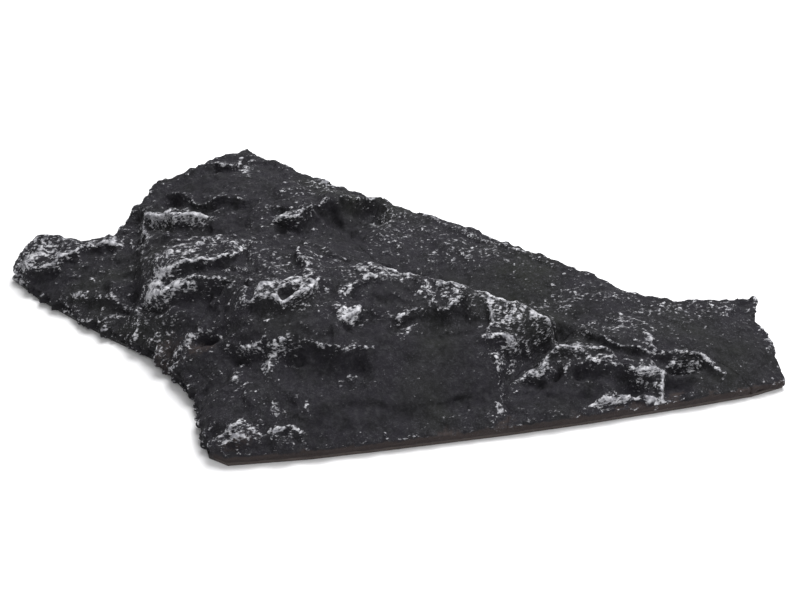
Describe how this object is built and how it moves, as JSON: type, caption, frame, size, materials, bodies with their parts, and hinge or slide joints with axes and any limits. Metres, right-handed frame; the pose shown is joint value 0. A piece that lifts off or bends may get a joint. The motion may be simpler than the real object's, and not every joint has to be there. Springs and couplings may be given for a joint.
{
  "type": "rock panel",
  "caption": "Low craggy panel moulded like broken basalt, with a jagged outline, a ridge, a cracked low outcrop and a flat back to lie or hang on.",
  "frame": {"origin": "middle of the outline's box in plan, on the flat back", "axes": "+X along the straight front edge, +Y towards the far peak, +Z out of the flat back through the rock face"},
  "size_m": [0.606, 0.382, 0.076],
  "materials": {
    "rock_paint": "matte charcoal coat, dry-brushed with white on its crests",
    "foam": "raw rigid foam",
    "backing": "raw resin sheet"
  },
  "bodies": {
    "root": {"outcrop_skin": "rock_paint", "slab_skin": "rock_paint", "toe_skin": "rock_paint", "outcrop_core": "foam", "slab_core": "foam", "toe_core": "foam", "backing_sheet": "backing"}
  },
  "joints": []
}
